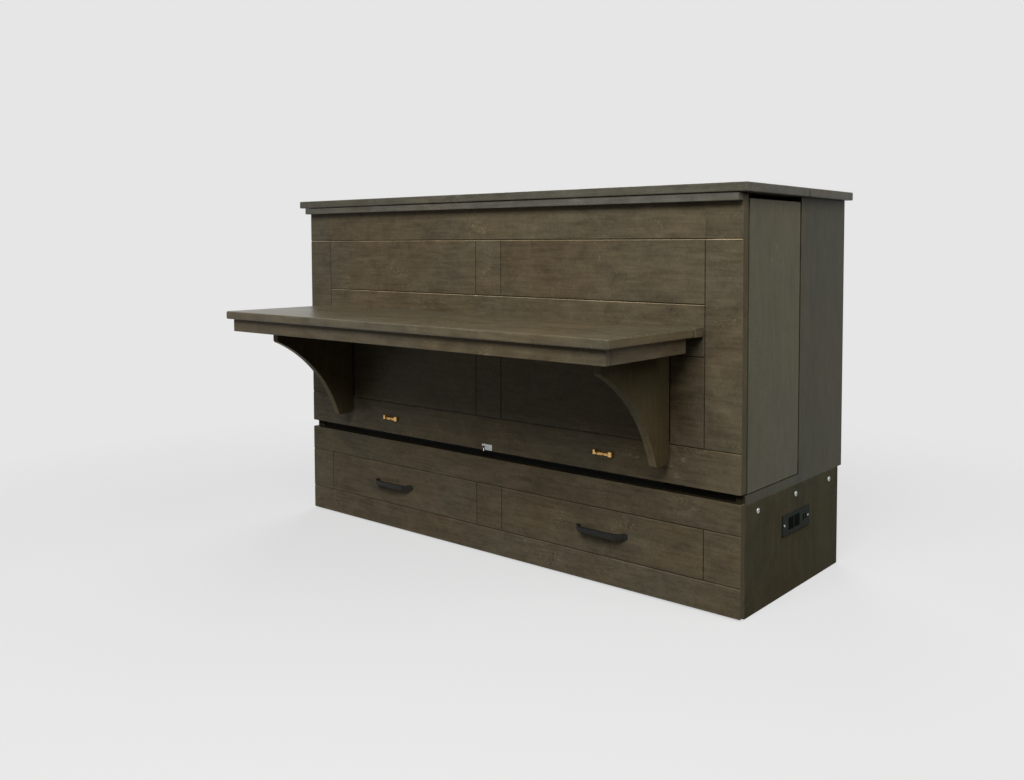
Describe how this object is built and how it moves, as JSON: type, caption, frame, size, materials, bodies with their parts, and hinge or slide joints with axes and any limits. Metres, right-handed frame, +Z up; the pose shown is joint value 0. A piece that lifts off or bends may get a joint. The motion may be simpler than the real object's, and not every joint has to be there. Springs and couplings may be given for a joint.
{
  "type": "cabinet wall bed",
  "caption": "Chest-style fold-away bed with a lift-up lid, a fold-down front, a hinged desk on folding corbels and a full-width drawer.",
  "frame": {"origin": "on the floor, below the middle of the whole object's box", "axes": "+X to the right along the front, +Y from the desk to the back, +Z up"},
  "size_m": [1.676, 0.957, 1.0365],
  "materials": {
    "stained_wood": "satin grey-brown stain over a fine figured grain",
    "inner_board": "plain matt board, a lighter tone of the same stain",
    "steel": "satin nickel",
    "brass": "polished brass",
    "black_metal": "satin black powder coat",
    "black_plastic": "satin black moulded plastic",
    "mattress_fabric": "off-white quilted knit"
  },
  "bodies": {
    "cabinet": {"base_side_left": "stained_wood", "base_side_right": "stained_wood", "base_back": "stained_wood", "base_front_rail": "stained_wood", "platform": "inner_board", "platform_cleat_left": "inner_board", "platform_cleat_right": "inner_board", "slide_outer_left": "steel", "slide_outer_right": "steel", "upper_side_left": "stained_wood", "upper_side_right": "stained_wood", "upper_back": "stained_wood", "fixed_top": "stained_wood", "lid_hinge_fixed_leaf": "steel", "bed_hinge_base_leaf": "black_metal", "outlet_plate": "black_plastic", "outlet_box": "black_plastic", "mattress_front": "mattress_fabric", "mattress_middle": "mattress_fabric", "mattress_rear": "mattress_fabric"},
    "bed_tray": {"front_door": "stained_wood", "crown_moulding": "stained_wood", "wing_left": "stained_wood", "wing_right": "stained_wood", "bed_hinge_door_leaf": "black_metal", "desk_rail": "stained_wood", "desk_leaf": "stained_wood", "desk_apron_front": "stained_wood", "desk_apron_left": "stained_wood", "desk_apron_right": "stained_wood", "desk_hinge_rail_leaf": "steel", "desk_hinge_desk_leaf": "steel", "corbel_hinge_door_leaf_left": "black_metal", "corbel_hinge_door_leaf_right": "black_metal", "foot_platform": "inner_board", "foot_hinge_door_leaf": "steel", "foot_hinge_foot_leaf": "steel", "foot_leg_frame": "black_metal", "door_bolt_plate_left": "brass", "door_bolt_plate_right": "brass", "latch_plate": "steel"},
    "lid": {"lid_flap": "stained_wood", "lid_hinge_moving_leaf": "steel"},
    "drawer": {"drawer_front": "stained_wood", "drawer_side_left": "inner_board", "drawer_side_right": "inner_board", "drawer_back": "inner_board", "drawer_bottom": "inner_board", "slide_inner_left": "steel", "slide_inner_right": "steel", "drawer_handle_left": "black_metal", "drawer_handle_right": "black_metal"},
    "corbel_arm_left": {"corbel_left": "stained_wood", "corbel_hinge_corbel_leaf_left": "black_metal"},
    "corbel_arm_right": {"corbel_right": "stained_wood", "corbel_hinge_corbel_leaf_right": "black_metal"},
    "bolt_left": {"door_bolt_rod_left": "brass"},
    "bolt_right": {"door_bolt_rod_right": "brass"},
    "latch": {"latch_lever": "steel"}
  },
  "joints": [
    {"name": "bed_open", "type": "hinge", "parent": "cabinet", "child": "bed_tray", "pos_m": [0, -0.0805, 0.296], "axis": [1, 0, 0], "range_deg": [0, 90]},
    {"name": "lid_open", "type": "hinge", "parent": "cabinet", "child": "lid", "pos_m": [0, 0.2035, 1.0333], "axis": [-1, 0, 0], "range_deg": [0, 180]},
    {"name": "drawer_slide", "type": "slide", "parent": "cabinet", "child": "drawer", "axis": [0, 1, 0], "range_m": [-0.4, 0]},
    {"name": "corbel_left_fold", "type": "hinge", "parent": "bed_tray", "child": "corbel_arm_left", "pos_m": [-0.597, -0.098, 0.5], "axis": [0, 0, 1], "range_deg": [0, 90]},
    {"name": "corbel_right_fold", "type": "hinge", "parent": "bed_tray", "child": "corbel_arm_right", "pos_m": [0.597, -0.098, 0.5], "axis": [0, 0, -1], "range_deg": [0, 90]},
    {"name": "door_bolt_left", "type": "slide", "parent": "bed_tray", "child": "bolt_left", "axis": [1, 0, 0], "range_m": [0, 0.012]},
    {"name": "door_bolt_right", "type": "slide", "parent": "bed_tray", "child": "bolt_right", "axis": [1, 0, 0], "range_m": [0, 0.012]},
    {"name": "latch_turn", "type": "hinge", "parent": "bed_tray", "child": "latch", "pos_m": [-0.0181, -0.0955, 0.311], "axis": [0, 1, 0], "range_deg": [0, 90]}
  ],
  "couplings": [
    {"joint": "lid_open", "follows": "bed_open", "ratio": 2}
  ]
}
